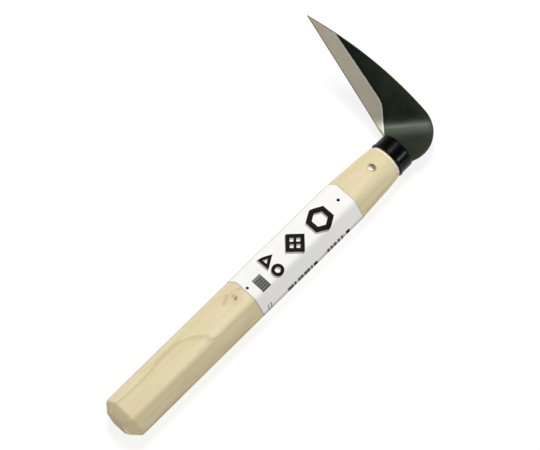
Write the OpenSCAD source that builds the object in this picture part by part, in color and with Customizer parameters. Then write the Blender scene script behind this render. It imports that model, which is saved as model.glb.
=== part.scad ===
// Hand sickle with a bent, single-bevel blade and a hexagonal handle.
// X runs along the handle from the butt to the blade, and the origin is the centre of the butt face.
// Z points out of the labelled flat of the handle, and the blade reaches out towards +Y.
// The blade is one forging: a flat blank, folded along a slanting line, with a tang behind its shoulders.

/* [Handle] */
// Length of wood that shows, from the butt face to the shoulder under the ferrule
handle_l = 200; // [160:5:260]
// Width across opposite flats of the hexagon
handle_flats = 23.5; // [22:0.5:28]
// Width across the softened long corners
handle_corners = 26.3; // [25.2:0.1:26.9]
// Size of the 45 degree chamfer on each flat at the butt
butt_chamfer = 4.5; // [2:0.5:8]
// Length of the stretch that narrows towards the ferrule
taper_l = 40; // [30:5:60]
// Radius of the rounded wood edge under the ferrule
shoulder_r = 1.8; // [0.6:0.1:2.4]

/* [Ferrule] */
// Outer diameter of the ferrule
ferrule_d = 21; // [19:0.5:22]
// Length of the ferrule
ferrule_l = 9.5; // [7:0.5:16]
// Thickness of its sheet
ferrule_t = 1; // [0.6:0.1:1.5]
// Radius of its front rim
ferrule_rim_r = 1.4; // [1:0.1:3]
// Radius of the rolled bead at its back edge
bead_r = 0.8; // [0.5:0.1:1.2]

/* [Blade] */
// Length of the cutting edge, from heel to tip
edge_l = 78.5; // [65:0.5:90]
// Distance of the heel from the handle's axis
heel_y = 9.9; // [9:0.1:10.4]
// Angle between the cutting edge and the handle on the unfolded blank
edge_angle = 76.7; // [70:0.1:90]
// Thickness of the steel
blade_t = 2.4; // [1.6:0.1:3]
// Width of the ground bevel near the heel, square to the edge
bevel_w = 10.2; // [6:0.1:12]
// Width of the bevel at the tip, if the blade were wide enough there
bevel_tip_w = 7.4; // [5:0.1:12]
// Thickness left at the cutting edge
edge_t = 0.15; // [0.1:0.05:0.4]
// Radius of the rounded elbow between the neck and the back
elbow_r = 17.8; // [17:0.1:19]
// Distance from the ferrule to the centre of the elbow's curve
elbow_x = 8.1; // [7:0.1:9]
// Distance from the handle's axis to the centre of the elbow's curve
elbow_y = 6.2; // [5:0.1:7]
// Radius of the long curve of the back
back_r = 250; // [180:10:400]

/* [Fold] */
// Angle that the blade is folded up from the neck
fold_angle = 38; // [10:1:60]
// Angle between the fold line and the handle
fold_line_angle = 40.8; // [35:0.1:45]
// Distance from the ferrule to where the fold begins on the handle's axis
fold_start = 17.2; // [14:0.1:20]
// Bend radius at mid thickness
fold_r = 13; // [6:0.5:16]

/* [Tang and pin] */
// Length of the tang behind the shoulders
tang_l = 62; // [45:1:80]
// Width of the tang at the shoulders
tang_w = 9; // [7:0.5:10]
// Width of the tang at its end
tang_end_w = 5; // [4:0.5:7]
// Diameter of the retaining pin
pin_d = 2.2; // [1.8:0.1:2.6]
// Distance from the ferrule back to the pin
pin_back = 12.4; // [9:0.1:20]
// Diameter of the pin's head
pin_head_d = 3.6; // [3:0.1:4.4]

/* [Label] */
// Distance from the butt face to the label
label_x = 93; // [60:1:100]
// Length of the label along the handle
label_l = 75; // [40:1:80]
// Thickness of the label
label_t = 0.25; // [0.15:0.05:0.4]

/* [Hidden] */
$fn = 64;

gap = 0.1;                              // clearance between pieces that are assembled, each side
wood_end_r = 10.4;                      // radius of the wood where the ferrule starts
tenon_r = ferrule_d / 2 - ferrule_t - gap / 2;
cap_x = handle_l + ferrule_l;           // front of the ferrule, where the blade's shoulders sit
tenon_l = ferrule_l - ferrule_t - gap;
tang_t = blade_t - 0.2;
recess_d = pin_head_d + 1;              // crushed wood round the sunk head of the pin
recess_h = 1.3;

// The blank is drawn in two directions: q along the fold line and s square to it. Both are measured
// from the point where the fold begins on the handle's axis.
along = [cos(fold_line_angle), -sin(fold_line_angle)];
across = [sin(fold_line_angle), cos(fold_line_angle)];
fold_origin = [cap_x + fold_start, 0];
function to_blank(p) = [(p - fold_origin) * along, (p - fold_origin) * across];

heel = to_blank([cap_x, heel_y]);
tip = to_blank([cap_x, heel_y] + edge_l * [cos(edge_angle), sin(edge_angle)]);
elbow = to_blank([cap_x + elbow_x, elbow_y]);
elbow_turn = 37;                        // the elbow's curve ends this far round from the fold line's direction
back_start = elbow + elbow_r * [cos(elbow_turn), sin(elbow_turn)];
back_start_s = back_start[1];

// Centre of the back's long curve, which passes through the elbow's end and the tip
back_half = norm(tip - back_start) / 2;
back_dir = (tip - back_start) / (2 * back_half);
back_c = (tip + back_start) / 2 + sqrt(back_r ^ 2 - back_half ^ 2) * [-back_dir[1], back_dir[0]];

// The two sides of the blank. Before the heel its inner side is the shoulder, flat against the ferrule.
shoulder_q = function (s) heel[0] - (s - heel[1]) * across[0] / along[0];
back_q = function (s) s < back_start_s
    ? elbow[0] + sqrt(max(0, elbow_r ^ 2 - (s - elbow[1]) ^ 2))
    : back_c[0] + sqrt(back_r ^ 2 - (s - back_c[1]) ^ 2);
edge_q = function (s) s < heel[1]
    ? shoulder_q(s)
    : heel[0] + (s - heel[1]) * (tip[0] - heel[0]) / (tip[1] - heel[1]);

// The bevel's inner line follows the edge, then turns and runs almost straight down to the heel
bevel_span = function (s)
    let (t = (s - heel[1]) / (tip[1] - heel[1]))
    (bevel_w + (bevel_tip_w - bevel_w) * t) * norm(tip - heel) / (tip[1] - heel[1]);
runout_lean = 0.03;
runout_q = function (s) heel[0] + 0.1 + runout_lean * (s - heel[1]);
soft = 0.6;                             // how gently the bevel line turns
smooth_min = function (a, b) (a + b - sqrt((a - b) ^ 2 + 4 * soft)) / 2;
bevel_q = function (s) max(edge_q(s) + 0.05, smooth_min(edge_q(s) + bevel_span(s), runout_q(s)));

// Height of the top face above the lower one, q along the blank at station s
function steel_t(q, s) = s < heel[1]
    ? blade_t
    : blade_t - (blade_t - edge_t) / bevel_span(s) * max(0, bevel_q(s) - q);

// The fold: a point of the blank, h above mid thickness, goes to its place in space
fold_len = fold_r * fold_angle * PI / 180;
function turned(s) = min(fold_angle, max(0, s / fold_r * 180 / PI));
function run(s) = min(s, 0) + fold_r * sin(turned(s)) + max(0, s - fold_len) * cos(fold_angle);
function rise(s) = fold_r * (1 - cos(turned(s))) + max(0, s - fold_len) * sin(fold_angle);
function folded(q, s, h) =
    let (a = turned(s), xy = fold_origin + q * along + (run(s) - h * sin(a)) * across)
    [xy[0], xy[1], rise(s) + h * cos(a)];

// Points round one slice of the blade, from the lower side of the edge to the lower side of the back
bevelled_back = 0.35;                   // small chamfer along the back
function slice(s) =
    let (
        low = -blade_t / 2, e = edge_q(s), k = back_q(s), c = min(bevelled_back, (k - e) / 6),
        b = s < heel[1] ? e + c : min(max(bevel_q(s), e + c), k - 2 * c),
        top = low + steel_t(k - c, s), side_c = min(c, (top - low) / 4)
    )
    [
        folded(e, s, low),
        folded(e, s, low + steel_t(e, s)),
        folded(b, s, low + steel_t(b, s)),
        folded(k - c, s, top),
        folded(k, s, top - side_c),
        folded(k, s, low + side_c),
        folded(k - c, s, low)
    ];

// A closed skin over a row of slices that all have the same number of points
module skin(slices) {
    n = len(slices[0]);
    last = len(slices) - 1;
    polyhedron(
        points = [for (ring = slices) each ring],
        faces = [
            [for (i = [0:n - 1]) i],
            for (k = [0:last - 1]) for (i = [0:n - 1])
                let (j = (i + 1) % n, a = k * n, b = (k + 1) * n)
                each [[a + i, b + i, b + j], [a + i, b + j, a + j]],
            [for (i = [n - 1:-1:0]) last * n + i]
        ]
    );
}

function arc(c, r, from, to, steps = 6) =
    [for (i = [0:steps]) let (a = from + (to - from) * i / steps) c + r * [cos(a), sin(a)]];

// Turns a drawing made round Z so that its axis lies along the handle
module along_x(x = 0) translate([x, 0, 0]) rotate([0, 90, 0]) children();

module hexagon(flats, corners) intersection() {
    rotate(30) circle(d = flats / cos(30), $fn = 6);
    circle(d = corners);
}

module tang_outline(grow) polygon([
    [cap_x + 4, -tang_w / 2 - grow], [cap_x - tang_l - grow, -tang_end_w / 2 - grow],
    [cap_x - tang_l - grow, tang_end_w / 2 + grow], [cap_x + 4, tang_w / 2 + grow]
]);

module pin_hole(d, low, high) translate([handle_l - pin_back, 0, low]) cylinder(d = d, h = high - low);

module blade() color([0.17, 0.19, 0.18]) {
    first = elbow[1] - elbow_r * 0.983; // just short of where the shoulder line meets the elbow's curve
    steps = 60;
    difference() {
        union() {
            skin([for (i = [0:steps]) let (s = first + (tip[1] - 0.4 - first) * i / steps) slice(s)]);
            translate([0, 0, -tang_t / 2]) linear_extrude(tang_t) tang_outline(0);
        }
        pin_hole(pin_d + 2 * gap, -tang_t, tang_t);
    }
}

module ferrule() color([0.08, 0.08, 0.08]) difference() {
    r = ferrule_d / 2;
    along_x(handle_l) rotate_extrude() polygon([
        [r - ferrule_t, 0],
        each arc([r - bead_r / 2, bead_r], bead_r, -60, 60),
        each arc([r - ferrule_rim_r, ferrule_l - ferrule_rim_r], ferrule_rim_r, 0, 90),
        [0, ferrule_l], [0, ferrule_l - ferrule_t], [r - ferrule_t, ferrule_l - ferrule_t]
    ]);
    translate([cap_x - ferrule_t / 2, 0, 0])
        cube([ferrule_t * 2, tang_w + 4 * gap, tang_t + 4 * gap], center = true);
}

module handle() color([0.89, 0.83, 0.68]) difference() {
    union() {
        intersection() {
            along_x() linear_extrude(handle_l) hexagon(handle_flats, handle_corners);
            along_x() turned_envelope();
        }
        along_x(handle_l - 1) cylinder(r = tenon_r, h = tenon_l + 1);
    }
    for (a = [0:60:300]) rotate([a, 0, 0]) translate([0, 0, handle_flats / 2 - butt_chamfer])
        rotate([0, -45, 0]) translate([-20, -20, 0]) cube([50, 40, 20]);
    translate([0, 0, -tang_t / 2 - gap]) linear_extrude(tang_t + 2 * gap) tang_outline(gap);
    pin_hole(pin_d + 2 * gap, -handle_flats / 2 + 2, handle_flats / 2 + 1);
    pin_hole(recess_d, handle_flats / 2 - recess_h, handle_flats / 2 + 1);
}

// The round shape that the front of the hexagon is turned down to
module turned_envelope() {
    full_r = handle_corners / 2;
    straight_l = handle_l - taper_l;
    drop = full_r - wood_end_r;
    curve_r = (taper_l ^ 2 + drop ^ 2) / (2 * drop);
    rotate_extrude() difference() {
        union() {
            square([full_r, straight_l]);
            intersection() {
                square([full_r, handle_l]);
                translate([full_r - curve_r, straight_l]) circle(curve_r, $fn = 1440);
            }
        }
        translate([wood_end_r - shoulder_r, handle_l - shoulder_r]) difference() {
            square(full_r);
            circle(shoulder_r);
        }
    }
}

module retaining_pin() color([0.42, 0.4, 0.36]) {
    top = handle_flats / 2 - recess_h / 3;
    head_h = recess_h * 2 / 3;
    pin_hole(pin_d, -handle_flats / 2 + 3, top - head_h / 2);
    pin_hole(pin_head_d, top - head_h, top - head_h / 3);
    pin_hole(pin_head_d * 0.8, top - head_h, top);
}

module label_sleeve() color([0.93, 0.94, 0.93]) along_x(label_x) linear_extrude(label_l) difference() {
    hexagon(handle_flats + 2 * label_t, handle_corners + 2 * label_t);
    hexagon(handle_flats, handle_corners);
}

blade();
ferrule();
handle();
retaining_pin();
label_sleeve();
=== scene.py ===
import math

import bmesh
import bpy
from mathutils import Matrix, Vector, noise


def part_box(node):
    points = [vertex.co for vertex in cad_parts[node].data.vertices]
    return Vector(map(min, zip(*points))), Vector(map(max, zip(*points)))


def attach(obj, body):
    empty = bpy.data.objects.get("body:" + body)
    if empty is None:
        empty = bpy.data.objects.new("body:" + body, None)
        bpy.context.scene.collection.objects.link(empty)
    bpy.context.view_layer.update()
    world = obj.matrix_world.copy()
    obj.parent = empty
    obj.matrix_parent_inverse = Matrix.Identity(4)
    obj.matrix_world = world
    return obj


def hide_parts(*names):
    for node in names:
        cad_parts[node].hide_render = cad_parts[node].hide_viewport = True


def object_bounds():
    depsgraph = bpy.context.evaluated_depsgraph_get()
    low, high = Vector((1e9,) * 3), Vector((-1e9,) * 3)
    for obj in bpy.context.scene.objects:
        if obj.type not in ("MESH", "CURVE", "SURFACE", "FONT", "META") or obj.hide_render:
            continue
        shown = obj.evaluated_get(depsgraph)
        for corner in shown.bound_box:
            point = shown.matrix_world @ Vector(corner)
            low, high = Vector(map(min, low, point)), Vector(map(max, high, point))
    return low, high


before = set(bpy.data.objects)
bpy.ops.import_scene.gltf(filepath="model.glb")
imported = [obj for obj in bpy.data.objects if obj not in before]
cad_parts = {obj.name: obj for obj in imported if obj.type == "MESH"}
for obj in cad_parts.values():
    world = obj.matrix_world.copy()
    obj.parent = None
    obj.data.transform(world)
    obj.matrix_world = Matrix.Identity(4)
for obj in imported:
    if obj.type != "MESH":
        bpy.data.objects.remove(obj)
cad_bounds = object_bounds()

# The row frame: X along the handle from the butt, Z out of the labelled flat, +Y where the blade reaches.
# Shapes are worked out in millimetres and scaled once, when a mesh is made.
MM = 0.001


def box_mm(node):
    low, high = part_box(node)
    return low / MM, high / MM


HANDLE_LOW, HANDLE_HIGH = box_mm("handle")
FERRULE_LOW, FERRULE_HIGH = box_mm("ferrule")
BLADE_LOW = box_mm("blade")[0]
PIN_LOW, PIN_HIGH = box_mm("retaining_pin")
LABEL_LOW, LABEL_HIGH = box_mm("label_sleeve")

HANDLE_L = FERRULE_LOW.x  # wood that shows
CAP_X = FERRULE_HIGH.x  # front of the ferrule
FLATS = HANDLE_HIGH.z - HANDLE_LOW.z  # across the hexagon's flats
CORNERS = HANDLE_HIGH.y - HANDLE_LOW.y  # across its softened corners
PIN_X = (PIN_LOW.x + PIN_HIGH.x) / 2
FERRULE_D = 21.0
BLADE_T = 2.4
TANG_T = 2.2
TANG_ROOT_W = 9.2  # width of the tang at the ferrule and at its end
TANG_END_W = 5.0
CROSS_HOLE_R = 1.2  # hole through the wood and the tang for the pin
CLEARANCE = 0.1  # between the tang and its slot, on each side


# ------------------------------------------------------------------ mesh helpers

def make_piece(name, points_mm, faces, replaces, sharp):
    """A mesh object from points in mm, riding on the one body and standing for its CAD node."""
    mesh = bpy.data.meshes.new(name)
    mesh.from_pydata([Vector(p) * MM for p in points_mm], [], faces)
    mesh.validate()
    piece = bpy.data.objects.new(name, mesh)
    bpy.context.scene.collection.objects.link(piece)
    tidy_normals(piece, sharp)
    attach(piece, "root")
    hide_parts(replaces)
    return piece


def tidy_normals(piece, sharp):
    """Outward normals, smooth except across edges sharper than the angle given."""
    work = bmesh.new()
    work.from_mesh(piece.data)
    bmesh.ops.recalc_face_normals(work, faces=work.faces)
    work.to_mesh(piece.data)
    work.free()
    piece.data.shade_smooth()
    piece.data.set_sharp_from_angle(angle=math.radians(sharp))


def skin(rings, closed_ends=True):
    """Points and faces of a skin over rings that all have the same number of points."""
    n = len(rings[0])
    points = [p for ring in rings for p in ring]
    faces = []
    for k in range(len(rings) - 1):
        a, b = k * n, (k + 1) * n
        for i in range(n):
            j = (i + 1) % n
            faces.append((a + i, a + j, b + j, b + i))
    if closed_ends:
        faces.append(tuple(range(n)))
        faces.append(tuple(reversed(range((len(rings) - 1) * n, len(rings) * n))))
    return points, faces


def turned(profile, segments, x0):
    """Rings round the handle's axis for a profile of (radius, distance along) points."""
    rings = []
    for r, x in profile:
        turn = [2 * math.pi * i / segments for i in range(segments)]
        rings.append([(x0 + x, r * math.cos(a), r * math.sin(a)) for a in turn])
    return rings


def arc(cx, cy, r, start, end, steps):
    """Points of an arc, in degrees."""
    angles = [math.radians(start + (end - start) * i / steps) for i in range(steps + 1)]
    return [(cx + r * math.cos(a), cy + r * math.sin(a)) for a in angles]


def cutter(name, points_mm, faces):
    """A helper solid from points in mm, which combine() uses and removes."""
    mesh = bpy.data.meshes.new(name)
    mesh.from_pydata([Vector(p) * MM for p in points_mm], [], faces)
    tool = bpy.data.objects.new(name, mesh)
    bpy.context.scene.collection.objects.link(tool)
    tidy_normals(tool, 30)
    return tool


def combine(piece, tool, operation):
    """Applies an exact boolean and removes the tool."""
    step = piece.modifiers.new("combine", "BOOLEAN")
    step.operation = operation
    step.solver = "EXACT"
    step.object = tool
    bpy.context.view_layer.update()
    graph = bpy.context.evaluated_depsgraph_get()
    result = bpy.data.meshes.new_from_object(piece.evaluated_get(graph))
    piece.modifiers.remove(step)
    piece.data = result
    bpy.data.objects.remove(tool)


def dress(piece, material):
    """Gives the whole piece one material, since a boolean leaves empty slots."""
    piece.data.materials.clear()
    piece.data.materials.append(material)


def prism(outline, low, high):
    """A straight prism between two heights on an outline of (x, y) points."""
    rings = [[(x, y, z) for x, y in outline] for z in (low, high)]
    return skin(rings)


def disc_prism(x, y, r, low, high):
    """A straight round prism between two heights."""
    turn = [2 * math.pi * i / 48 for i in range(48)]
    return prism([(x + r * math.cos(a), y + r * math.sin(a)) for a in turn], low, high)


# ------------------------------------------------------------------ the folded blank of the blade

FOLD_ANGLE = math.radians(38)  # how far the blade is bent out of the neck's plane
FOLD_LINE = math.radians(40.8)  # slant of the line it is bent about
FOLD_R = 13.0  # radius of the bend, at mid thickness
FOLD_START = 17.2  # from the ferrule to the fold line, along the handle's axis
EDGE_L = 78.5  # heel to tip
EDGE_ANGLE = math.radians(76.7)  # between the edge and the handle, on the flat blank
HEEL_Y = 9.9
ELBOW_R = 17.78  # the round corner of the back
BACK_R = 250.0  # the long curve of the back
BEVEL_W = 10.2  # at the heel, narrowing to the next at the tip
BEVEL_TIP_W = 7.4
EDGE_T = 0.15  # thickness left at the cutting edge

ALONG = Vector((math.cos(FOLD_LINE), -math.sin(FOLD_LINE)))
ACROSS = Vector((math.sin(FOLD_LINE), math.cos(FOLD_LINE)))
FOLD_ORIGIN = Vector((CAP_X + FOLD_START, 0))
FOLD_LEN = FOLD_R * FOLD_ANGLE


def to_blank(x, y):
    """A point of the flat blank as (q along the fold line, s across it)."""
    away = Vector((x, y)) - FOLD_ORIGIN
    return Vector((away.dot(ALONG), away.dot(ACROSS)))


HEEL = to_blank(CAP_X, HEEL_Y)
TIP = to_blank(CAP_X + EDGE_L * math.cos(EDGE_ANGLE), HEEL_Y + EDGE_L * math.sin(EDGE_ANGLE))
ELBOW = to_blank(CAP_X + 8.1, 6.2)
ELBOW_TURN = math.radians(37)
BACK_START = ELBOW + ELBOW_R * Vector((math.cos(ELBOW_TURN), math.sin(ELBOW_TURN)))
EDGE_LEAN = (TIP.x - HEEL.x) / (TIP.y - HEEL.y)
EDGE_DIR = (TIP - HEEL).normalized()


def back_centre():
    half = (TIP - BACK_START).length / 2
    way = (TIP - BACK_START) / (2 * half)
    return (TIP + BACK_START) / 2 + math.sqrt(BACK_R**2 - half**2) * Vector((-way.y, way.x))


BACK_CENTRE = back_centre()


def edge_q(s):
    """The cutting edge, and below the heel the neck's end along the front of the ferrule."""
    if s < HEEL.y:
        return HEEL.x - (s - HEEL.y) * ACROSS.x / ALONG.x
    return HEEL.x + (s - HEEL.y) * EDGE_LEAN


def back_q(s):
    """The elbow's round corner, then the long curve of the back."""
    if s < BACK_START.y:
        return ELBOW.x + math.sqrt(max(0.0, ELBOW_R**2 - (s - ELBOW.y) ** 2))
    return BACK_CENTRE.x + math.sqrt(BACK_R**2 - (s - BACK_CENTRE.y) ** 2)


def bevel_span(s):
    t = (s - HEEL.y) / (TIP.y - HEEL.y)
    return (BEVEL_W + (BEVEL_TIP_W - BEVEL_W) * t) * (TIP - HEEL).length / (TIP.y - HEEL.y)


def bevel_q(s):
    """Inner line of the bevel: it follows the edge, then turns and runs almost straight down to the heel."""
    parallel, runout, soft = edge_q(s) + bevel_span(s), HEEL.x + 0.1 + 0.03 * (s - HEEL.y), 0.6
    blended = (parallel + runout - math.sqrt((parallel - runout) ** 2 + 4 * soft)) / 2
    return max(edge_q(s) + 0.05, blended)


def steel_t(q, s):
    """Thickness of the steel, which the bevel takes down to EDGE_T."""
    if s < HEEL.y:
        return BLADE_T
    return BLADE_T - (BLADE_T - EDGE_T) / bevel_span(s) * max(0.0, bevel_q(s) - q)


def folded(q, s, h):
    """Where a point of the blank goes, h above mid thickness."""
    a = min(FOLD_ANGLE, max(0.0, s / FOLD_R))
    beyond = max(0.0, s - FOLD_LEN)
    run = min(s, 0.0) + FOLD_R * math.sin(a) + beyond * math.cos(FOLD_ANGLE)
    rise = FOLD_R * (1 - math.cos(a)) + beyond * math.sin(FOLD_ANGLE)
    flat = FOLD_ORIGIN + q * ALONG + (run - h * math.sin(a)) * ACROSS
    return Vector((flat.x, flat.y, rise + h * math.cos(a)))


def unfolded(p):
    """The blank's (q, s, h) for a point in space, in mm."""
    away = Vector((p.x, p.y)) - FOLD_ORIGIN
    q, g = away.dot(ALONG), away.dot(ACROSS)
    if g <= 0:
        return q, g, p.z
    a = math.atan2(g, FOLD_R - p.z)
    if a <= FOLD_ANGLE:
        return q, FOLD_R * a, FOLD_R - math.hypot(g, FOLD_R - p.z)
    g, z = g - FOLD_R * math.sin(FOLD_ANGLE), p.z - FOLD_R * (1 - math.cos(FOLD_ANGLE))
    beyond = g * math.cos(FOLD_ANGLE) + z * math.sin(FOLD_ANGLE)
    return q, FOLD_LEN + beyond, z * math.cos(FOLD_ANGLE) - g * math.sin(FOLD_ANGLE)


def blade_slice(s):
    """Points round one slice of the blade: up the edge, over the bevel and the face, round the back."""
    low, e, k = -BLADE_T / 2, edge_q(s), back_q(s)
    rim = min(0.45, (k - e) / 6)
    b = min(max(bevel_q(s), e + rim / 2), k - 1.5 * rim) if s >= HEEL.y else e + rim / 2
    points = [(e, low)]
    for i in range(11):
        q = e + (b - e) * i / 10
        points.append((q, low + steel_t(q, s)))
    for i in range(1, 17):
        q = b + (k - rim - b) * i / 16
        points.append((q, low + steel_t(q, s)))
    top = low + steel_t(k - rim, s)
    side = min(rim, (top - low) / 2.2)
    for a in (18, 36, 54, 72, 90):
        turn = math.radians(a)
        points.append((k - rim + rim * math.sin(turn), top - side + side * math.cos(turn)))
    for a in (0, 30, 60, 90):
        turn = math.radians(a)
        points.append((k - rim + rim * math.cos(turn), low + side - side * math.sin(turn)))
    for i in range(1, 12):
        points.append((k - rim + (e - k + rim) * i / 12, low))
    return [folded(q, s, h + forged(q, s, h)) for q, h in points]


def forged(q, s, h):
    """The faint unevenness that the hammer and the fold leave in the black face."""
    face = max(0.0, h / (BLADE_T / 2)) * min(1.0, max(0.0, (q - bevel_q(s)) / 3))
    back = min(1.0, max(0.0, (back_q(s) - q) / 2))
    return 0.05 * face * back * noise.noise(Vector((q * 0.13, s * 0.16, 3.1)))


def make_blade():
    """The forging: the folded blade and neck, joined to the tapered tang with its pin hole."""
    low_s = ELBOW.y - ELBOW_R * 0.983
    high_s = TIP.y - 0.4
    stations = [low_s + (high_s - low_s) * i / 190 for i in range(191)]
    points, faces = skin([blade_slice(s) for s in stations])
    blade = make_piece("blade_forging", points, faces, "blade", sharp=9)
    root, end_x = CAP_X + 4, BLADE_LOW.x
    wide, narrow = TANG_ROOT_W / 2, TANG_END_W / 2
    outline = [(root, -wide), (end_x, -narrow), (end_x, narrow), (root, wide)]
    combine(blade, cutter("tang", *prism(outline, -TANG_T / 2, TANG_T / 2)), "UNION")
    hole = disc_prism(PIN_X, 0, CROSS_HOLE_R, -TANG_T, TANG_T)
    combine(blade, cutter("tang_hole", *hole), "DIFFERENCE")
    tidy_normals(blade, 9)
    store_blank(blade)
    dress(blade, blade_steel())


def store_blank(blade):
    """Keeps each point's place on the blank for the material."""
    mesh = blade.data
    blank, ground, from_edge, from_back, height, past_fold = ([] for _ in range(6))
    for vertex in mesh.vertices:
        q, s, h = unfolded(vertex.co / MM)
        here = Vector((q, s)) - HEEL
        sideways = here.x * EDGE_DIR.y - here.y * EDGE_DIR.x
        on_blade = CAP_X - 0.5 < vertex.co.x / MM
        blank += (here.dot(EDGE_DIR), sideways, h)
        ground.append((bevel_q(s) - q) if on_blade and s > HEEL.y else -4.0)
        from_edge.append(sideways if s > HEEL.y else 30.0)
        from_back.append(back_q(s) - q if on_blade and ELBOW.y - ELBOW_R < s < TIP.y else 10.0)
        height.append((h + BLADE_T / 2) / BLADE_T)
        past_fold.append(s)
    mesh.attributes.new("blank", "FLOAT_VECTOR", "POINT").data.foreach_set("vector", blank)
    kept = {
        "ground": ground, "from_edge": from_edge, "from_back": from_back,
        "height": height, "past_fold": past_fold,
    }
    for name, values in kept.items():
        mesh.attributes.new(name, "FLOAT", "POINT").data.foreach_set("value", values)


# ------------------------------------------------------------------ handle, ferrule, pin

BUTT_CHAMFER = 4.5
TAPER_L = 40.0  # the last of the wood before the ferrule, which narrows
WOOD_END_R = 10.4  # radius that it narrows to
SHOULDER_R = 1.8  # rounding beside the ferrule
TENON_R = FERRULE_D / 2 - 1.05


def handle_radius(x, turn):
    """Distance from the axis to the wood: the flats, corners, taper and butt chamfers, softly joined."""
    near_cap = min(1.0, max(0.0, (x - HANDLE_L + TAPER_L) / 22))
    near_butt = min(1.0, max(0.0, 1.6 - x / BUTT_CHAMFER))
    sharpness = 70 - 52 * near_cap**2 * (3 - 2 * near_cap) - 44 * near_butt
    drop = CORNERS / 2 - WOOD_END_R
    curve_r = (TAPER_L**2 + drop**2) / (2 * drop)
    into = max(0.0, x - (HANDLE_L - TAPER_L))
    limits = [CORNERS / 2 - (curve_r - math.sqrt(curve_r**2 - into**2))]
    shoulder = x - (HANDLE_L - SHOULDER_R)
    if shoulder > 0:
        limits.append(WOOD_END_R - SHOULDER_R + math.sqrt(max(0, SHOULDER_R**2 - shoulder**2)))
    for k in range(6):
        facing = math.cos(turn - math.radians(30 + 60 * k))
        if facing > 0.3:
            limits.append(FLATS / 2 / facing)
            if x < 2 * BUTT_CHAMFER:
                limits.append((FLATS / 2 - BUTT_CHAMFER + x) / facing)
    return sum(r**-sharpness for r in limits) ** (-1 / sharpness)


def handle_stations():
    near_butt = [0.02, 0.08, 0.2] + [0.4 + 0.4 * i for i in range(24)]
    body = [10 + 2.5 * i for i in range(int((HANDLE_L - 22) / 2.5))]
    taper = [HANDLE_L - 12 + 0.6 * i for i in range(18)]
    rounded = [HANDLE_L - SHOULDER_R * (1 - math.sin(math.radians(a))) for a in range(0, 90, 9)]
    return near_butt + body + taper + rounded + [HANDLE_L]


def handle_rings():
    """Rings of points from the butt's flat end to the end of the tenon."""
    turns = [2 * math.pi * i / 216 for i in range(216)]
    rings = []
    for x in handle_stations():
        inset = 0.25 * math.exp(-x / 0.12)
        row = []
        for a in turns:
            r = handle_radius(x, a) - inset
            wave = noise.noise(Vector((x * 0.02, math.cos(a) * 2, math.sin(a) * 2)))
            r -= 0.05 * (0.5 + 0.5 * wave)
            row.append((x, r * math.cos(a), r * math.sin(a)))
        rings.append(row)
    butt_rim = rings[0]
    for inner in (0.75, 0.4):
        rings.insert(0, [(0.0, y * inner, z * inner) for _, y, z in butt_rim])
    tenon_end = HANDLE_HIGH.x
    for x in (HANDLE_L, tenon_end - 0.3):
        rings.append([(x, TENON_R * math.cos(a), TENON_R * math.sin(a)) for a in turns])
    for r in (TENON_R - 0.3, TENON_R * 0.5):
        rings.append([(tenon_end, r * math.cos(a), r * math.sin(a)) for a in turns])
    return rings


def make_handle():
    """The wood, with the tapered slot for the tang, and the pin's cross hole and recess."""
    points, faces = skin(handle_rings())
    handle = make_piece("wooden_handle", points, faces, "handle", sharp=40)
    mouth, bottom = CAP_X + 4, BLADE_LOW.x - CLEARANCE
    wide, narrow = TANG_ROOT_W / 2 + CLEARANCE, TANG_END_W / 2 + CLEARANCE
    outline = [(mouth, -wide), (bottom, -narrow), (bottom, narrow), (mouth, wide)]
    slot_h = TANG_T / 2 + CLEARANCE
    combine(handle, cutter("tang_slot", *prism(outline, -slot_h, slot_h)), "DIFFERENCE")
    bore = disc_prism(PIN_X, 0, CROSS_HOLE_R, PIN_LOW.z - 1, FLATS)
    combine(handle, cutter("pin_bore", *bore), "DIFFERENCE")
    combine(handle, cutter("pin_recess", *recess()), "DIFFERENCE")
    tidy_normals(handle, 40)
    dress(handle, handle_wood())


def recess():
    """The dent that the pin's head was punched down into, a little ragged and wider at the mouth."""
    rings = []
    for depth, r in ((1.3, 1.75), (0.7, 1.85), (0.43, 1.95), (0.0, 2.3), (-1.0, 2.7)):
        row = []
        for i in range(64):
            a = 2 * math.pi * i / 64
            ragged = 1 + 0.09 * noise.noise(Vector((math.cos(a) * 1.7, math.sin(a) * 1.7, depth)))
            row.append((
                PIN_X + 0.36 + r * ragged * math.cos(a) * 1.06,
                r * ragged * math.sin(a) - 0.14,
                FLATS / 2 - depth,
            ))
        rings.append(row)
    return skin(rings)


def make_ferrule():
    """A drawn cap: a wall with a rolled bead, a rounded front rim and a front plate with the tang's slot."""
    r, wall, length, rim, bead = FERRULE_D / 2, 1.0, CAP_X - HANDLE_L, 1.4, 0.8
    n, plate_r, lap = 160, 6.4, 0.2
    profile = [(r - wall, length - wall), (r - wall, 0.15), (r - wall + 0.12, 0.0)]
    profile += arc(r - bead / 2, bead, bead - 0.02, -58, 58, 14)
    profile += arc(r - rim, length - rim, rim, 0, 90, 18)
    profile += [(plate_r, length)]
    rings = turned(profile, n, HANDLE_L)
    inner = turned([(plate_r, length - wall)], n, HANDLE_L)
    points, faces = skin(rings + inner, closed_ends=False)
    last = len(rings)
    for i in range(n):
        j = (i + 1) % n
        faces.append((last * n + i, last * n + j, j, i))
    ferrule = make_piece("ferrule_cap", points, faces, "ferrule", sharp=40)
    plate = turned([(plate_r + lap, length - wall), (plate_r + lap, length)], n, HANDLE_L)
    combine(ferrule, cutter("cap_plate", *skin(plate)), "UNION")
    half_w, half_t = TANG_ROOT_W / 2 + 0.3, TANG_T / 2 + 0.2
    outline = [(CAP_X - 3, -half_w), (CAP_X + 3, -half_w), (CAP_X + 3, half_w), (CAP_X - 3, half_w)]
    combine(ferrule, cutter("cap_slot", *prism(outline, -half_t, half_t)), "DIFFERENCE")
    tidy_normals(ferrule, 40)
    dress(ferrule, ferrule_black())


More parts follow.
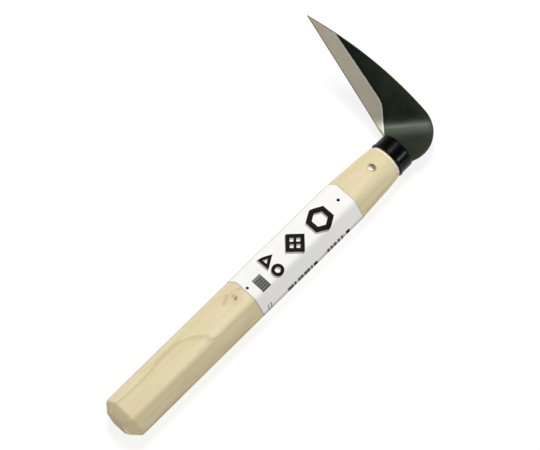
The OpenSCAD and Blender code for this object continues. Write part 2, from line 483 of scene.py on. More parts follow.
def make_pin():
    """A nail: a shank, and a head struck slightly out of round."""
    r, head_r = 1.1, 1.8
    head_h = 0.85
    top = PIN_HIGH.z
    profile = [(r * 0.5, PIN_LOW.z), (r * 0.9, PIN_LOW.z + 0.5), (r, PIN_LOW.z + 1.2), (r, top - head_h)]
    profile += [(head_r - 0.1, top - head_h), (head_r, top - head_h + 0.12), (head_r, top - 0.4)]
    profile += arc(head_r - 0.38, top - 0.4, 0.38, 12, 70, 5)
    profile += [(head_r * 0.62, top - 0.03), (head_r * 0.3, top)]
    rings = []
    for radius, z in profile:
        row = []
        for i in range(48):
            a = 2 * math.pi * i / 48
            struck = noise.noise(Vector((radius * math.cos(a), radius * math.sin(a), z * 0.3)))
            out = radius * (1 + 0.05 * noise.noise(Vector((math.cos(a), math.sin(a), 5.0))))
            dent = 0.12 * (struck - 0.5) if z > top - 0.5 else 0.0
            row.append((PIN_X + out * math.cos(a), out * math.sin(a), min(top, z + dent)))
        rings.append(row)
    points, faces = skin(rings)
    pin = make_piece("retaining_nail", points, faces, "retaining_pin", sharp=40)
    dress(pin, pin_steel())


# ------------------------------------------------------------------ paper sleeve

PAPER_T = 0.09
GLUE_T = 0.015  # under the overlap
PAPER_GAP = 0.02  # between the wood and the paper


def sleeve_path(lift):
    """Points round the handle, starting and ending under it, each with the distance gone and its angle."""
    x = (LABEL_LOW.x + LABEL_HIGH.x) / 2
    points, gone, last = [], 0.0, None
    steps = 720
    for i in range(steps + 40):
        a = math.radians(-108 + 360 * i / steps)
        over = min(1.0, max(0.0, (i - steps + 12) / 12))
        r = handle_radius(x, a) + lift + over * (PAPER_T + GLUE_T)
        here = Vector((r * math.cos(a), r * math.sin(a)))
        gone += (here - last).length if last else 0.0
        last = here
        points.append((here, gone, a))
    return points


def sleeve_points(inner, outer, stations, length):
    """The paper's points, and for each its place on the sheet: along, round, and 1 on the outer side."""
    middle = min(range(len(outer)), key=lambda i: abs(outer[i][2] - math.radians(90)))
    points, coords = [], []
    for x in stations:
        near_end = math.exp(-min(x, length - x) / 1.5)
        for side, path in enumerate((inner, outer)):
            for place, gone, _ in path:
                rough = noise.noise(Vector((x * 0.09, gone * 0.11, 1.7)))
                curl = 0.05 * near_end * (0.5 + noise.noise(Vector((gone * 0.2, x * 0.01, 9.0))))
                wave = 0.015 * (0.5 + 0.5 * rough) + max(0.0, curl) * 0.3
                out = place.normalized() * wave
                points.append((LABEL_LOW.x + x, place.x + out.x, place.y + out.y))
                coords.append((x, gone - outer[middle][1], 1.0 if side else 0.0))
    return points, coords


def sleeve_faces(n, rows):
    """Faces of a thin sheet in rows, each of n points inside and then n points outside."""
    faces = []
    for k in range(rows - 1):
        a, b = 2 * n * k, 2 * n * (k + 1)
        for i in range(n - 1):
            faces.append((a + i, a + i + 1, b + i + 1, b + i))
            faces.append((a + n + i, b + n + i, b + n + i + 1, a + n + i + 1))
        faces.append((a, b, b + n, a + n))
        faces.append((a + n - 1, a + 2 * n - 1, b + 2 * n - 1, b + n - 1))
    top = 2 * n * (rows - 1)
    for i in range(n - 1):
        faces.append((i, n + i, n + i + 1, i + 1))
        faces.append((top + i, top + i + 1, top + n + i + 1, top + n + i))
    return faces


def make_label():
    """The paper, wrapped once with a short overlap, a little wavy and lifting at its ends."""
    inner, outer = sleeve_path(PAPER_GAP), sleeve_path(PAPER_GAP + PAPER_T)
    stations = [0.0, 0.15, 0.4, 0.8] + [1.6 + 1.6 * i for i in range(45)] + [74.2, 74.6, 74.85, 75.0]
    length = LABEL_HIGH.x - LABEL_LOW.x
    stations = [s * length / 75.0 for s in stations]
    points, coords = sleeve_points(inner, outer, stations, length)
    faces = sleeve_faces(len(inner), len(stations))
    label = make_piece("paper_sleeve", points, faces, "label_sleeve", sharp=50)
    sheet = label.data.attributes.new("sheet", "FLOAT_VECTOR", "POINT")
    for i, c in enumerate(coords):
        sheet.data[i].vector = c
    dress(label, label_paper(length))


# ------------------------------------------------------------------ materials

class Nodes:
    """Short names for the shader nodes that the materials are built from."""

    def __init__(self, name):
        self.material = bpy.data.materials.new(name)
        self.material.use_nodes = True
        self.tree = self.material.node_tree
        self.shader = self.tree.nodes["Principled BSDF"]

    def put(self, socket, value):
        if isinstance(value, bpy.types.NodeSocket):
            self.tree.links.new(value, socket)
        elif isinstance(value, (tuple, list)) and len(value) == 3 and socket.type == "RGBA":
            socket.default_value = (*value, 1)
        else:
            socket.default_value = value

    def set(self, name, value):
        self.put(self.shader.inputs[name], value)

    def add(self, kind):
        return self.tree.nodes.new(kind)

    def math(self, operation, a, b=0.0, c=None):
        node = self.add("ShaderNodeMath")
        node.operation = operation
        self.put(node.inputs[0], a)
        self.put(node.inputs[1], b)
        if c is not None:
            self.put(node.inputs[2], c)
        return node.outputs[0]

    def hypot(self, a, b):
        squares = self.math("ADD", self.math("MULTIPLY", a, a), self.math("MULTIPLY", b, b))
        return self.math("SQRT", squares)

    def attribute(self, name, vector=False):
        node = self.add("ShaderNodeAttribute")
        node.attribute_name = name
        return node.outputs["Vector" if vector else "Fac"]

    def place(self):
        """The point in the row frame, in millimetres."""
        node = self.add("ShaderNodeTexCoord")
        return self.scaled(node.outputs["Object"], (1000, 1000, 1000))

    def scaled(self, vector, scale, location=(0, 0, 0)):
        node = self.add("ShaderNodeMapping")
        self.put(node.inputs["Vector"], vector)
        node.inputs["Scale"].default_value = scale
        node.inputs["Location"].default_value = location
        return node.outputs[0]

    def split(self, vector):
        node = self.add("ShaderNodeSeparateXYZ")
        self.put(node.inputs[0], vector)
        return node.outputs

    def noise(self, vector, scale=1.0, detail=3.0, roughness=0.5):
        node = self.add("ShaderNodeTexNoise")
        self.put(node.inputs["Vector"], vector)
        node.inputs["Scale"].default_value = scale
        node.inputs["Detail"].default_value = detail
        node.inputs["Roughness"].default_value = roughness
        return node.outputs["Fac"]

    def band(self, value, low, high, out_low=0.0, out_high=1.0):
        """Smooth step of value from low to high."""
        node = self.add("ShaderNodeMapRange")
        node.interpolation_type = "SMOOTHSTEP"
        self.put(node.inputs["Value"], value)
        ends = {"From Min": low, "From Max": high, "To Min": out_low, "To Max": out_high}
        for name, number in ends.items():
            self.put(node.inputs[name], number)
        return node.outputs["Result"]

    def mix(self, amount, a, b):
        node = self.add("ShaderNodeMix")
        node.data_type = "RGBA"
        self.put(node.inputs[0], amount)
        self.put(node.inputs[6], a)
        self.put(node.inputs[7], b)
        return node.outputs[2]

    def bump(self, height, strength, distance, after=None):
        node = self.add("ShaderNodeBump")
        node.inputs["Strength"].default_value = strength
        node.inputs["Distance"].default_value = distance
        self.put(node.inputs["Height"], height)
        if after is not None:
            self.put(node.inputs["Normal"], after)
        return node.outputs[0]


def bare_metal(n, ground, wander, drift):
    """Where the black is gone: the ground bevel on top and a narrow honed strip along the edge underneath."""
    height = n.attribute("height")
    spine = n.math("ADD", n.attribute("from_back"), drift)
    bright = n.math("MULTIPLY", n.band(ground, 0.0, 0.22), n.band(height, 0.03, 0.05))
    bright = n.math("MULTIPLY", bright, n.band(spine, 0.35, 0.6))
    below = n.math("SUBTRACT", 1.0, n.band(height, 0.015, 0.03))
    under_line = n.math("ADD", n.attribute("from_edge"), n.math("MULTIPLY", wander, 0.8))
    under_hone = n.math("MULTIPLY", n.math("SUBTRACT", 1.0, n.band(under_line, 3.1, 3.7)), below)
    return n.math("MAXIMUM", bright, under_hone)


def black_face(n, ground, cloud, fine):
    """The forged black: cloudy, lighter near the back, darker beside the bevel and towards the tip, with a
    painted highlight along the back edge.
    """
    along = n.split(n.attribute("blank", vector=True))[0]
    from_back = n.attribute("from_back")
    black = n.mix(n.band(cloud, 0.35, 0.7), (0.004, 0.007, 0.003), (0.012, 0.018, 0.008))
    # lighter towards the back, near the heel
    lighter_back = n.math("MULTIPLY", n.band(from_back, 9.0, 1.0, 0.0, 0.6), n.band(along, 45.0, 12.0))
    black = n.mix(lighter_back, black, (0.024, 0.026, 0.015))
    # darker towards the tip and beside the bevel
    darker_tip_and_bevel_side = n.math("MAXIMUM", n.band(along, 34.0, 66.0, 0.0, 0.95), n.band(ground, -4.5, -0.6, 0.0, 0.7))
    black = n.mix(darker_tip_and_bevel_side, black, (0.0008, 0.0010, 0.0006))
    black = n.mix(n.band(fine, 0.5, 0.75, 0.0, 0.3), black, (0.026, 0.031, 0.020))
    # painted highlight: a lighter strip along the back edge, where the edge catches the light
    back_edge_highlight = n.math("SUBTRACT", 1.0, n.band(from_back, 0.15, 0.6))
    back_edge_highlight = n.math("MULTIPLY", back_edge_highlight, n.band(n.noise(n.place(), scale=0.35, detail=4), 0.32, 0.6))
    return n.mix(n.math("MULTIPLY", back_edge_highlight, 0.45), black, (0.12, 0.12, 0.10))


def ground_face(n, ground, across_lines):
    """The bevel: grinding lines across it, painted shade towards the heel, warm patches towards the tip, a
    painted highlight along its inner line and a darker edge.
    """
    blank = n.attribute("blank", vector=True)
    along = n.split(blank)[0]
    patches = n.noise(n.scaled(blank, (0.12, 0.3, 0.0)), detail=4, roughness=0.6)
    steel = n.mix(n.band(across_lines, 0.3, 0.7), (0.49, 0.46, 0.38), (0.65, 0.61, 0.52))
    # painted shade: the bevel darker towards the heel
    steel = n.mix(n.band(along, 26.0, 4.0, 0.0, 0.75), steel, (0.42, 0.405, 0.335))
    near_tip = n.band(along, 35.0, 75.0, 0.35, 0.9)
    warm = n.math("MULTIPLY", n.band(patches, 0.38, 0.62), near_tip)
    steel = n.mix(warm, steel, (0.62, 0.50, 0.33))
    # painted highlight: a light line along the bevel's inner boundary
    bevel_line_highlight = n.math("MULTIPLY", n.band(ground, 0.1, 0.3), n.band(ground, 1.1, 0.7))
    steel = n.mix(n.math("MULTIPLY", bevel_line_highlight, 0.7), steel, (0.66, 0.66, 0.62))
    honed = n.band(n.attribute("from_edge"), 0.75, 0.45)
    honed = n.math("MULTIPLY", honed, n.band(n.attribute("height"), 0.03, 0.05))
    return n.mix(n.math("MULTIPLY", honed, 0.7), steel, (0.20, 0.185, 0.15))


def blade_steel():
    """Blackened, oiled steel with a ground bevel."""
    n = Nodes("blade_steel")
    place = n.place()
    blank = n.attribute("blank", vector=True)
    wander = n.noise(n.scaled(blank, (0.35, 0.5, 0)), detail=3)
    drift = n.math("MULTIPLY", n.math("SUBTRACT", wander, 0.5), 0.5)
    ground = n.math("ADD", n.attribute("ground"), drift)
    cloud = n.noise(place, scale=0.11, detail=4, roughness=0.6)
    fine = n.noise(place, scale=1.6, detail=4, roughness=0.65)
    across_lines = n.noise(n.scaled(blank, (5.0, 0.25, 0.0)), detail=5, roughness=0.7)
    metal = bare_metal(n, ground, wander, drift)
    black = black_face(n, ground, cloud, fine)
    n.set("Base Color", n.mix(metal, black, ground_face(n, ground, across_lines)))

    matt_neck = n.band(n.attribute("past_fold"), 1.0, -8.0, 0.0, 0.42)
    rough_black = n.math("ADD", n.band(cloud, 0.3, 0.75, 0.37, 0.42), matt_neck)
    rough_steel = n.band(across_lines, 0.3, 0.7, 0.46, 0.58)
    difference = n.math("SUBTRACT", rough_steel, rough_black)
    rough = n.math("MULTIPLY_ADD", metal, difference, rough_black)
    n.set("Roughness", n.math("ADD", rough, n.math("MULTIPLY", n.math("SUBTRACT", fine, 0.5), 0.08)))
    n.set("Metallic", n.math("MULTIPLY", metal, 0.5))
    n.shader.inputs["Specular IOR Level"].default_value = 0.44
    n.shader.inputs["Specular Tint"].default_value = (0.86, 1.0, 0.80, 1)
    lines = n.math("MULTIPLY", n.math("MULTIPLY", across_lines, metal), 0.006)
    scale_marks = n.math("MULTIPLY", n.math("MULTIPLY", fine, n.math("SUBTRACT", 1.0, metal)), 0.018)
    n.set("Normal", n.bump(n.math("ADD", lines, scale_marks), 0.6, MM))
    return n.material


def corner_shade(n, strength):
    """Mask of painted shade along the two long corners at the sides."""
    y = n.split(n.place())[1]
    far = n.band(y, CORNERS / 2 - 1.7, CORNERS / 2 - 0.3, 0.0, strength)
    near = n.band(y, -CORNERS / 2 + 0.75, -CORNERS / 2 + 0.25, 0.0, strength)
    return n.math("MAXIMUM", far, near)


KNOT_X, KNOT_Y = LABEL_LOW.x - 6.3, 0.7  # a small knot near the sleeve's lower end
RING_W = 3.4  # from one growth ring to the next


def knot_distance(n, off_x, off_y, stretch):
    """Distance from a place beside the knot, with the part along the grain scaled by stretch."""
    x, y = n.split(n.place())[:2]
    dx = n.math("MULTIPLY", n.math("SUBTRACT", x, KNOT_X + off_x), stretch)
    dy = n.math("SUBTRACT", y, KNOT_Y + off_y)
    return n.hypot(dx, dy)


def growth_rings(n, drift, fibre, knot_d, on_top):
    """Masks of each ring's late wood and of the fine line where it ends. The rings swing round the knot."""
    place = n.place()
    x, y, z = n.split(place)[:3]
    swing = n.math("MULTIPLY", n.band(knot_d, 7.5, 0.5, 0.0, 4.0), on_top)
    swell = n.band(x, HANDLE_L * 0.22, HANDLE_L * 0.35, 0.0, 2.6)
    rise = n.math("ADD", n.math("ADD", z, swell), n.math("MULTIPLY_ADD", drift, 1.2, 12.75))
    side = n.math("ADD", y, n.math("MULTIPLY_ADD", drift, 3.5, 5.0))
    ring = n.math("ADD", n.hypot(rise, side), swing)
    ring = n.math("ADD", ring, n.math("MULTIPLY_ADD", fibre, 0.5, 0.25))
    phase = n.math("FRACT", n.math("DIVIDE", ring, RING_W))
    butt_half = n.band(x, LABEL_HIGH.x, LABEL_LOW.x, 0.2, 1.0)

    late = n.math("MULTIPLY", n.band(phase, 0.66, 0.91), n.band(phase, 1.0, 0.94))
    strength = n.band(n.noise(n.scaled(place, (0.02, 0.12, 0.12)), detail=2), 0.35, 0.65, 0.55, 1.0)
    late = n.math("MULTIPLY", n.math("MULTIPLY", late, strength), n.band(z, 2.0, 11.0, 0.25, 1.0))
    late = n.math("MULTIPLY", late, butt_half)
    late = n.math("MULTIPLY", late, n.band(knot_d, 3.0, 9.0, 0.25, 1.0))

    line = n.math("MULTIPLY", n.band(phase, 0.80, 0.91), n.band(phase, 0.99, 0.95))
    broad_face = n.math("MULTIPLY", n.band(z, FLATS / 2 - 0.9, FLATS / 2 - 0.4), butt_half)
    line = n.math("MULTIPLY", n.math("MULTIPLY", line, broad_face), n.band(knot_d, 5.0, 10.0))
    return late, line


def pale_wood(n, blotch):
    """The wood under its figure: two pale tones, blotches, and darker bands on the side faces."""
    place = n.place()
    x, y = n.split(place)[:2]
    tone = n.noise(n.scaled(place, (0.022, 0.10, 0.10), (3, 5, 7)), detail=3)
    pale = n.mix(n.band(tone, 0.3, 0.7), (0.77, 0.68, 0.44), (0.72, 0.61, 0.36))
    pale = n.mix(n.band(blotch, 0.45, 0.7, 0.0, 0.5), pale, (0.72, 0.67, 0.35))
    pale = n.mix(n.band(blotch, 0.48, 0.3, 0.0, 0.4), pale, (0.80, 0.66, 0.46))
    side_band = n.noise(n.scaled(place, (0.03, 0.22, 0.22), (2, 8, 1)), detail=2)
    off_flat = n.band(n.math("ABSOLUTE", y), 6.2, 8.2, 0.0, 0.34)
    off_flat = n.math("MULTIPLY", off_flat, n.band(x, 0.0, BUTT_CHAMFER + 3.0, 0.1, 1.0))
    side_band = n.math("MULTIPLY", n.band(side_band, 0.34, 0.66, 0.1, 1.0), off_flat)
    return n.mix(side_band, pale, (0.66, 0.56, 0.30))


def warm_side(n, blotch):
    """Mask of the warmer patches low on the -Y side."""
    y, z = n.split(n.place())[1:3]
    side = n.math("MULTIPLY", n.band(z, 9.0, 1.0), n.band(y, -4.0, -9.0))
    return n.math("MULTIPLY", side, n.band(blotch, 0.40, 0.60, 0.5, 0.0))


def knot_marks(n, wood, knot_d, gnarl, on_top):
    """The knot's blush, the dark arcs on one side of it, and its small ragged hearts."""
    y = n.split(n.place())[1]
    blush = n.math("MULTIPLY", n.band(knot_d, 5.0, 1.5, 0.0, 0.5), on_top)
    wood = n.mix(blush, wood, (0.66, 0.475, 0.30))
    arcs = n.math("ABSOLUTE", n.math("SUBTRACT", knot_d, 3.6))
    arcs = n.math("MULTIPLY", n.band(arcs, 1.0, 0.1, 0.0, 0.5), n.band(y, KNOT_Y + 0.5, KNOT_Y + 3))
    wood = n.mix(n.math("MULTIPLY", arcs, on_top), wood, (0.42, 0.33, 0.13))
    ragged = n.math("MULTIPLY", gnarl, 2.2)
    hearts = n.band(n.math("ADD", knot_distance(n, -0.2, 0.3, 0.75), ragged), 1.35, 0.45, 0.0, 0.85)
    smear = n.band(n.math("ADD", knot_distance(n, -0.3, 2.2, 0.7), ragged), 1.2, 0.2, 0.0, 0.4)
    hearts = n.math("MAXIMUM", hearts, smear)
    return n.mix(n.math("MULTIPLY", hearts, on_top), wood, (0.27, 0.12, 0.065))


def butt_marks(n, wood, drift):
    """The butt's chamfers and end grain, with painted light and shade giving each side its own tone, darker
    towards the bottom.
    """
    x, y, z = n.split(n.place())[:3]
    end_grain = n.band(x, BUTT_CHAMFER + 0.5, BUTT_CHAMFER - 1.0)
    # browner end grain, darker low down
    lower = n.band(n.math("ADD", z, n.math("MULTIPLY", drift, 9.0)), 9.5, 4.0, 0.12, 0.9)
    end_mottle = n.math("MULTIPLY", lower, n.band(y, -2.0, -7.0, 1.0, 0.0))
    wood = n.mix(n.math("MULTIPLY", end_grain, end_mottle), wood, (0.51, 0.355, 0.165))
    # painted shade: the +Y chamfers in a darker olive tone
    far_end = n.math("MULTIPLY", end_grain, n.band(y, 2.5, 8.0, 0.0, 0.75))
    wood = n.mix(far_end, wood, (0.50, 0.43, 0.22))
    # painted light: the -Y chamfers in a lighter tone
    near_end = n.math("MULTIPLY", end_grain, n.band(y, -3.0, -7.0, 0.0, 0.7))
    wood = n.mix(near_end, wood, (0.93, 0.76, 0.47))
    # darker towards the bottom of the butt
    darker_low_butt = n.math("MULTIPLY", n.band(x, BUTT_CHAMFER + 1.5, 0.0), n.band(z, 2.0, -8.0, 0.0, 0.75))
    return n.mix(darker_low_butt, wood, (0.31, 0.25, 0.10))


def fitting_marks(n, wood, on_top):
    """Painted shadow along the paper's ends, a painted highlight on the shoulder, painted shade round the pin
    and painted shade along the side corners.
    """
    x, y = n.split(n.place())[:2]
    off_low = n.math("ABSOLUTE", n.math("SUBTRACT", x, LABEL_LOW.x))
    off_high = n.math("ABSOLUTE", n.math("SUBTRACT", x, LABEL_HIGH.x))
    # painted shadow of the paper's edges on the wood
    paper_edge_shadow = n.band(n.math("MINIMUM", off_low, off_high), 0.8, 0.1, 0.0, 0.45)
    wood = n.mix(paper_edge_shadow, wood, (0.36, 0.29, 0.18))
    # painted highlight: a lighter band on the rounded shoulder beside the ferrule
    shoulder_highlight = n.band(x, HANDLE_L - 1.7, HANDLE_L - 1.1)
    wood = n.mix(shoulder_highlight, wood, (0.97, 0.92, 0.78))
    # painted shade: darker wood in and round the pin's recess, most on the side towards the cap
    off_pin = n.math("SUBTRACT", x, PIN_X)
    pin_recess_shade = n.band(n.hypot(off_pin, y), 3.3, 2.2)
    pin_recess_shade = n.math("MULTIPLY", pin_recess_shade, n.band(off_pin, -1.0, 1.6, 0.10, 0.95))
    wood = n.mix(n.math("MULTIPLY", pin_recess_shade, on_top), wood, (0.25, 0.22, 0.11))
    # painted shade along the long side corners
    return n.mix(corner_shade(n, 0.4), wood, (0.30, 0.26, 0.16))


def handle_wood():
    """Plain pale hardwood: growth rings round a heart below the handle, fibres, pores and one small knot."""
    n = Nodes("handle_wood")
    place = n.place()
    on_top = n.band(n.split(place)[2], 4.0, 9.0)
    drift = n.math("SUBTRACT", n.noise(n.scaled(place, (0.02, 0.07, 0.07)), detail=3), 0.5)
    gnarl = n.math("SUBTRACT", n.noise(n.scaled(place, (0.30, 0.42, 0.42)), detail=1.5), 0.5)
    knot_d = n.math("ADD", knot_distance(n, 0, 0.6, 0.6), n.math("MULTIPLY", gnarl, 4.0))
    fibre = n.noise(n.scaled(place, (0.035, 1.6, 1.6)), detail=5, roughness=0.65)
    blotch = n.noise(n.scaled(place, (0.06, 0.16, 0.16), (11, 2, 4)), detail=3)
    pores = n.band(n.noise(n.scaled(place, (0.10, 3.2, 3.2)), detail=2), 0.66, 0.74, 0.0, 0.4)
    late, ring_line = growth_rings(n, drift, fibre, knot_d, on_top)

    wood = pale_wood(n, blotch)
    wood = n.mix(n.math("MULTIPLY", late, 0.30), wood, (0.60, 0.49, 0.27))
    wood = n.mix(n.math("MULTIPLY", ring_line, 0.28), wood, (0.42, 0.35, 0.15))
    wood = n.mix(warm_side(n, blotch), wood, (0.60, 0.44, 0.20))
    wood = n.mix(n.band(fibre, 0.5, 0.72, 0.0, 0.3), wood, (0.68, 0.57, 0.36))
    wood = n.mix(pores, wood, (0.48, 0.36, 0.20))
    wood = knot_marks(n, wood, knot_d, gnarl, on_top)
    wood = butt_marks(n, wood, drift)
    n.set("Base Color", fitting_marks(n, wood, on_top))

    n.set("Roughness", n.math("ADD", n.band(fibre, 0.3, 0.7, 0.50, 0.62), n.math("MULTIPLY", pores, 0.2)))
    n.shader.inputs["Specular IOR Level"].default_value = 0.4
    grooves = n.math("SUBTRACT", n.math("MULTIPLY", fibre, 0.05), n.math("MULTIPLY", pores, 0.07))
    grooves = n.math("ADD", grooves, n.math("MULTIPLY", late, 0.012))
    n.set("Normal", n.bump(grooves, 0.55, MM))
    return n.material


def ferrule_black():
    """Gloss black enamel over drawn steel, a little wavy, with handling dust and a few rubbed spots."""
    n = Nodes("ferrule_black")
    place = n.place()
    dust = n.noise(place, scale=0.9, detail=5, roughness=0.7)
    spots = n.band(n.noise(place, scale=2.6, detail=3), 0.70, 0.78, 0.0, 0.4)
    colour = n.mix(n.band(dust, 0.45, 0.8), (0.001, 0.001, 0.0008), (0.004, 0.004, 0.003))
    n.set("Base Color", n.mix(spots, colour, (0.03, 0.028, 0.025)))
    n.set("Roughness", n.math("ADD", n.band(dust, 0.35, 0.75, 0.22, 0.28), n.math("MULTIPLY", spots, 0.25)))
    n.shader.inputs["Specular IOR Level"].default_value = 0.12
    drawn = n.math("MULTIPLY", n.noise(n.scaled(place, (2.5, 0.25, 0.25)), detail=3), 0.02)
    n.set("Normal", n.bump(n.math("MULTIPLY_ADD", dust, 0.006, drawn), 0.06, MM))
    return n.material


def pin_steel():
    """A plain nail, dull and just starting to stain, with painted shade on its side towards the cap."""
    n = Nodes("pin_steel")
    place = n.place()
    stain = n.noise(place, scale=1.3, detail=5, roughness=0.7)
    # painted shade: the head darker on its side towards the cap
    cap_side_shade = n.band(n.math("SUBTRACT", n.split(place)[0], PIN_X), -0.5, 0.9)
    colour = n.mix(n.band(stain, 0.4, 0.7), (0.66, 0.61, 0.47), (0.42, 0.35, 0.20))
    colour = n.mix(n.math("MULTIPLY", cap_side_shade, 0.9), colour, (0.22, 0.19, 0.105))
    n.set("Base Color", colour)
    n.set("Metallic", n.band(stain, 0.4, 0.75, 0.45, 0.2))
    n.set("Roughness", n.band(stain, 0.3, 0.7, 0.45, 0.65))
    n.set("Normal", n.bump(n.noise(place, scale=3.5, detail=4), 0.4, 0.05 * MM))
    return n.material


def label_paper(length):
    """White coated paper printed with plain shapes and a gauge of ticks: no lettering of any kind."""
    n = Nodes("label_paper")
    place = n.place()
    sheet = n.attribute("sheet", vector=True)
    along, round_, side = n.split(sheet)[:3]
    ink = Print(n, along, round_)
    outer = n.band(side, 0.5, 0.9)
    worn = n.band(n.noise(place, scale=1.9, detail=4, roughness=0.7), 0.24, 0.36, 0.8, 1.0)

    mottled = n.noise(place, scale=0.12, detail=3)
    fibres = n.noise(place, scale=4.5, detail=4, roughness=0.75)
    paper = n.mix(n.band(mottled, 0.3, 0.7), (0.905, 0.91, 0.865), (0.93, 0.915, 0.895))
    paper = n.mix(n.band(fibres, 0.5, 0.8, 0.0, 0.25), paper, (0.85, 0.855, 0.84))
    ends = n.math("MINIMUM", along, n.math("SUBTRACT", length, along))
    # painted shade: the paper darker along its ends
    paper = n.mix(n.band(ends, 0.7, 0.0, 0.0, 0.5), paper, (0.50, 0.47, 0.40))
    # painted shade along the long side corners
    paper = n.mix(corner_shade(n, 0.5), paper, (0.34, 0.33, 0.32))
    paper = n.mix(n.math("MULTIPLY", ink.shadow(), outer), paper, (0.27, 0.235, 0.22))
    paper = n.mix(n.math("MULTIPLY", ink.striped_block(), outer), paper, (0.09, 0.085, 0.08))
    black = n.math("MULTIPLY", n.math("MULTIPLY", ink.solid(), outer), worn)
    n.set("Base Color", n.mix(black, paper, (0.006, 0.005, 0.006)))
    n.set("Roughness", n.band(fibres, 0.3, 0.7, 0.62, 0.72))
    n.shader.inputs["Specular IOR Level"].default_value = 0.10
    relief = n.math("ADD", n.math("MULTIPLY", fibres, 0.008), n.math("MULTIPLY", black, 0.004))
    n.set("Normal", n.bump(relief, 0.5, MM))
    return n.material


class Print:
    """Masks of the print, from places along the sheet and round it in millimetres."""

    BLUR = 0.10
    GAUGE_V = 19.0  # the middle of the row of ticks, on the next face

    def __init__(self, n, along, round_):
        self.n = n
        self.along = along
        self.round = round_

    def local(self, x, v, turn=0.0):
        """Coordinates about a point of the sheet, turned by some degrees."""
        n = self.n
        a, b = n.math("SUBTRACT", self.along, x), n.math("SUBTRACT", self.round, v)
        if not turn:
            return a, b
        c, s = math.cos(math.radians(turn)), math.sin(math.radians(turn))
        first = n.math("MULTIPLY_ADD", a, c, n.math("MULTIPLY", b, s))
        second = n.math("SUBTRACT", n.math("MULTIPLY", b, c), n.math("MULTIPLY", a, s))
        return first, second

    def inside(self, distance):
        return self.n.band(distance, self.BLUR, -self.BLUR)

    def outline(self, distance, wall):
        n = self.n
        return self.inside(n.math("SUBTRACT", n.math("ABSOLUTE", distance), wall / 2))

    def box(self, x, v, half_x, half_v, turn=0.0):
        """Distance from a rectangle."""
        n = self.n
        a, b = self.local(x, v, turn)
        over = n.math("SUBTRACT", n.math("ABSOLUTE", a), half_x)
        beside = n.math("SUBTRACT", n.math("ABSOLUTE", b), half_v)
        return n.math("MAXIMUM", over, beside)

    def disc(self, x, v, r):
        """Distance from a circle."""
        a, b = self.local(x, v)
        return self.n.math("SUBTRACT", self.n.hypot(a, b), r)

    def polygon(self, x, v, r, turns):
        """Distance from a shape with one straight side for each turn, r from its middle."""
        reaches = [self.local(x, v, turn)[0] for turn in turns]
        return self.n.math("SUBTRACT", self.joined(reaches), r)

    def joined(self, values):
        """The greatest of the values."""
        total = values[0]
        for value in values[1:]:
            total = self.n.math("MAXIMUM", total, value)
        return total

    def bold(self, dx, dv):
        """A hexagon, a four-paned diamond, then a triangle and a ring side by side."""
        return self.joined([
            self.outline(self.polygon(55.0 + dx, 0.4 + dv, 5.2, range(0, 360, 60)), 2.9),
            self.outline(self.box(36.6 + dx, 0.2 + dv, 3.9, 3.9, 45), 2.2),
            self.inside(self.box(36.6 + dx, 0.2 + dv, 0.7, 3.8, 45)),
            self.inside(self.box(36.6 + dx, 0.2 + dv, 3.8, 0.7, 45)),
            self.outline(self.polygon(18.9 + dx, -3.9 + dv, 1.7, (60, 180, 300)), 1.7),
            self.outline(self.disc(19.7 + dx, 4.0 + dv, 2.5), 1.8),
        ])

    def gauge(self, first, last):
        """Ticks of uneven weight between two places along the sheet."""
        n = self.n
        line = n.add("ShaderNodeCombineXYZ")
        n.put(line.inputs[0], self.along)
        weight = n.noise(n.scaled(line.outputs[0], (0.42, 0, 0)), detail=1)
        phase = n.math("SUBTRACT", n.math("MODULO", self.along, 2.5), 1.25)
        over = n.math("SUBTRACT", n.math("ABSOLUTE", phase), n.band(weight, 0.35, 0.62, 0.35, 1.3))
        off_row = n.math("ABSOLUTE", n.math("SUBTRACT", self.round, self.GAUGE_V))
        ticks = self.inside(n.math("MAXIMUM", over, n.math("SUBTRACT", off_row, 1.5)))
        starts, stops = n.band(self.along, first, first + 0.1), n.band(self.along, last + 0.1, last)
        return n.math("MULTIPLY", ticks, n.math("MULTIPLY", starts, stops))

    def solid(self):
        """Everything that is printed black."""
        n = self.n
        return self.joined([
            self.bold(0, 0),
            self.inside(self.disc(69.4, 0.0, 0.9)),
            self.inside(self.disc(1.7, -0.4, 0.8)),
            self.inside(self.box(63.4, self.GAUGE_V, 1.3, 1.4)),
            self.inside(self.box(38.9, self.GAUGE_V + 0.2, 1.3, 1.4)),
            n.math("MULTIPLY", self.gauge(46.5, 60.5), 0.85),
            n.math("MULTIPLY", self.gauge(18.0, 36.5), 0.85),
            n.math("MULTIPLY", self.inside(self.box(4.2, 17.6, 0.36, 1.8, 12)), 0.7),
            n.math("MULTIPLY", self.inside(self.box(6.2, 17.6, 0.36, 1.8, 12)), 0.7),
        ])

    def striped_block(self):
        n = self.n
        across = n.math("SUBTRACT", n.math("MODULO", self.round, 1.45), 0.72)
        stripes = n.band(n.math("ABSOLUTE", across), 0.6, 0.35, 0.84, 1.0)
        return n.math("MULTIPLY", self.inside(self.box(8.7, 2.9, 2.9, 4.3)), stripes)

    def shadow(self):
        """The thin drop shadow of the bold shapes."""
        return self.n.math("MULTIPLY", self.bold(-0.95, 0.45), 0.8)


# ------------------------------------------------------------------ stage, lights, camera

VIEW_AZIMUTH = math.radians(-46.4)
VIEW_ELEVATION = math.radians(68)
CAMERA_DISTANCE = 1.2404
PICTURE_W = 272.7 * MM  # width of what the picture takes in at the butt
BUTT_DISTANCE = 1.2  # from the camera to the butt
AIM_X, AIM_Y = 13.74 * MM, -12.41 * MM  # where the camera looks, from the middle of the part
SENSOR_MM = 36.0


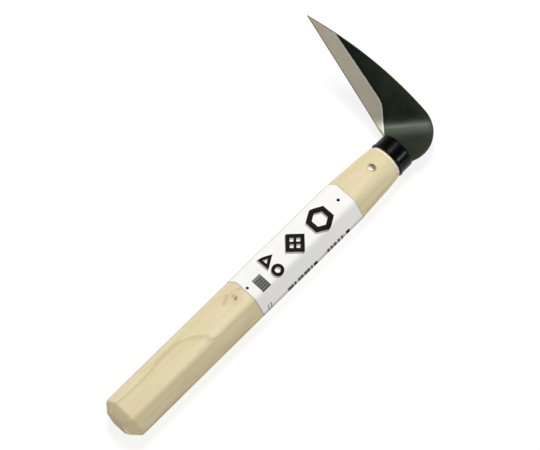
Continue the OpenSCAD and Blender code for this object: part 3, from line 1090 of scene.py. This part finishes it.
def view_back():
    """The direction from what the camera looks at to the camera."""
    flat = math.cos(VIEW_ELEVATION)
    return Vector((
        math.sin(VIEW_AZIMUTH) * flat,
        -math.cos(VIEW_AZIMUTH) * flat,
        math.sin(VIEW_ELEVATION),
    ))


def make_camera():
    back = view_back()
    low, high = cad_bounds
    aim = Vector(((low[0] + high[0]) / 2 + AIM_X, (low[1] + high[1]) / 2 + AIM_Y, 0.0))
    data = bpy.data.cameras.new("camera")
    data.sensor_width = SENSOR_MM
    data.lens = BUTT_DISTANCE / PICTURE_W * SENSOR_MM
    data.clip_start, data.clip_end = 0.05, 50
    camera = bpy.data.objects.new("camera", data)
    camera.location = aim + back * CAMERA_DISTANCE
    camera.rotation_euler = back.to_track_quat("Z", "Y").to_euler()
    bpy.context.scene.collection.objects.link(camera)
    bpy.context.scene.camera = camera


def area_light(name, centre, way, distance, size, power):
    """A soft round light that stands off from centre along way and faces it."""
    data = bpy.data.lights.new(name, "AREA")
    data.shape = "DISK"
    data.size = size
    data.energy = power
    light = bpy.data.objects.new(name, data)
    out = Vector(way).normalized()
    light.location = Vector(centre) + out * distance
    light.rotation_euler = out.to_track_quat("Z", "Y").to_euler()
    bpy.context.scene.collection.objects.link(light)


def make_lights():
    low, high = Vector(cad_bounds[0]), Vector(cad_bounds[1])
    middle = (low + high) / 2
    neck = Vector((CAP_X, 0, 0)) * MM
    area_light("overhead", middle, (0.20, 0.19, 1.0), 1.0, 0.36, 7.6)
    area_light("left_fill", middle, (-0.35, 0.85, 0.45), 1.1, 0.9, 3.0)
    area_light("near_reflector", middle, (-0.85, -0.42, 0.42), 1.1, 0.8, 0.3)
    area_light("right_strip", neck, (0.27, -0.81, 0.52), 0.8, 0.08, 1.25)
    area_light("front_kicker", neck, (0.92, 0.10, 0.38), 0.8, 0.25, 0.6)
    world = bpy.data.worlds.new("studio")
    bpy.context.scene.world = world
    world.use_nodes = True
    world.node_tree.nodes["Background"].inputs["Color"].default_value = (1, 1, 1, 1)
    world.node_tree.nodes["Background"].inputs["Strength"].default_value = 0.10


def make_floor():
    low = cad_bounds[0]
    mesh = bpy.data.meshes.new("floor")
    half = 6.0
    corners = [(-half, -half), (half, -half), (half, half), (-half, half)]
    mesh.from_pydata([(x, y, low[2] - 0.0001) for x, y in corners], [], [(0, 1, 2, 3)])
    floor = bpy.data.objects.new("floor", mesh)
    bpy.context.scene.collection.objects.link(floor)
    n = Nodes("floor_paper")
    n.set("Base Color", (0.22, 0.22, 0.22))
    n.set("Emission Color", (1.0, 1.0, 1.0))
    n.set("Emission Strength", 0.83)
    n.set("Roughness", 0.9)
    n.shader.inputs["Specular IOR Level"].default_value = 0.1
    floor.data.materials.append(n.material)


make_camera()
make_lights()
make_floor()
make_blade()
make_handle()
make_ferrule()
make_pin()
make_label()

bpy.context.scene.view_settings.view_transform = "Standard"
bpy.context.scene.view_settings.look = "None"
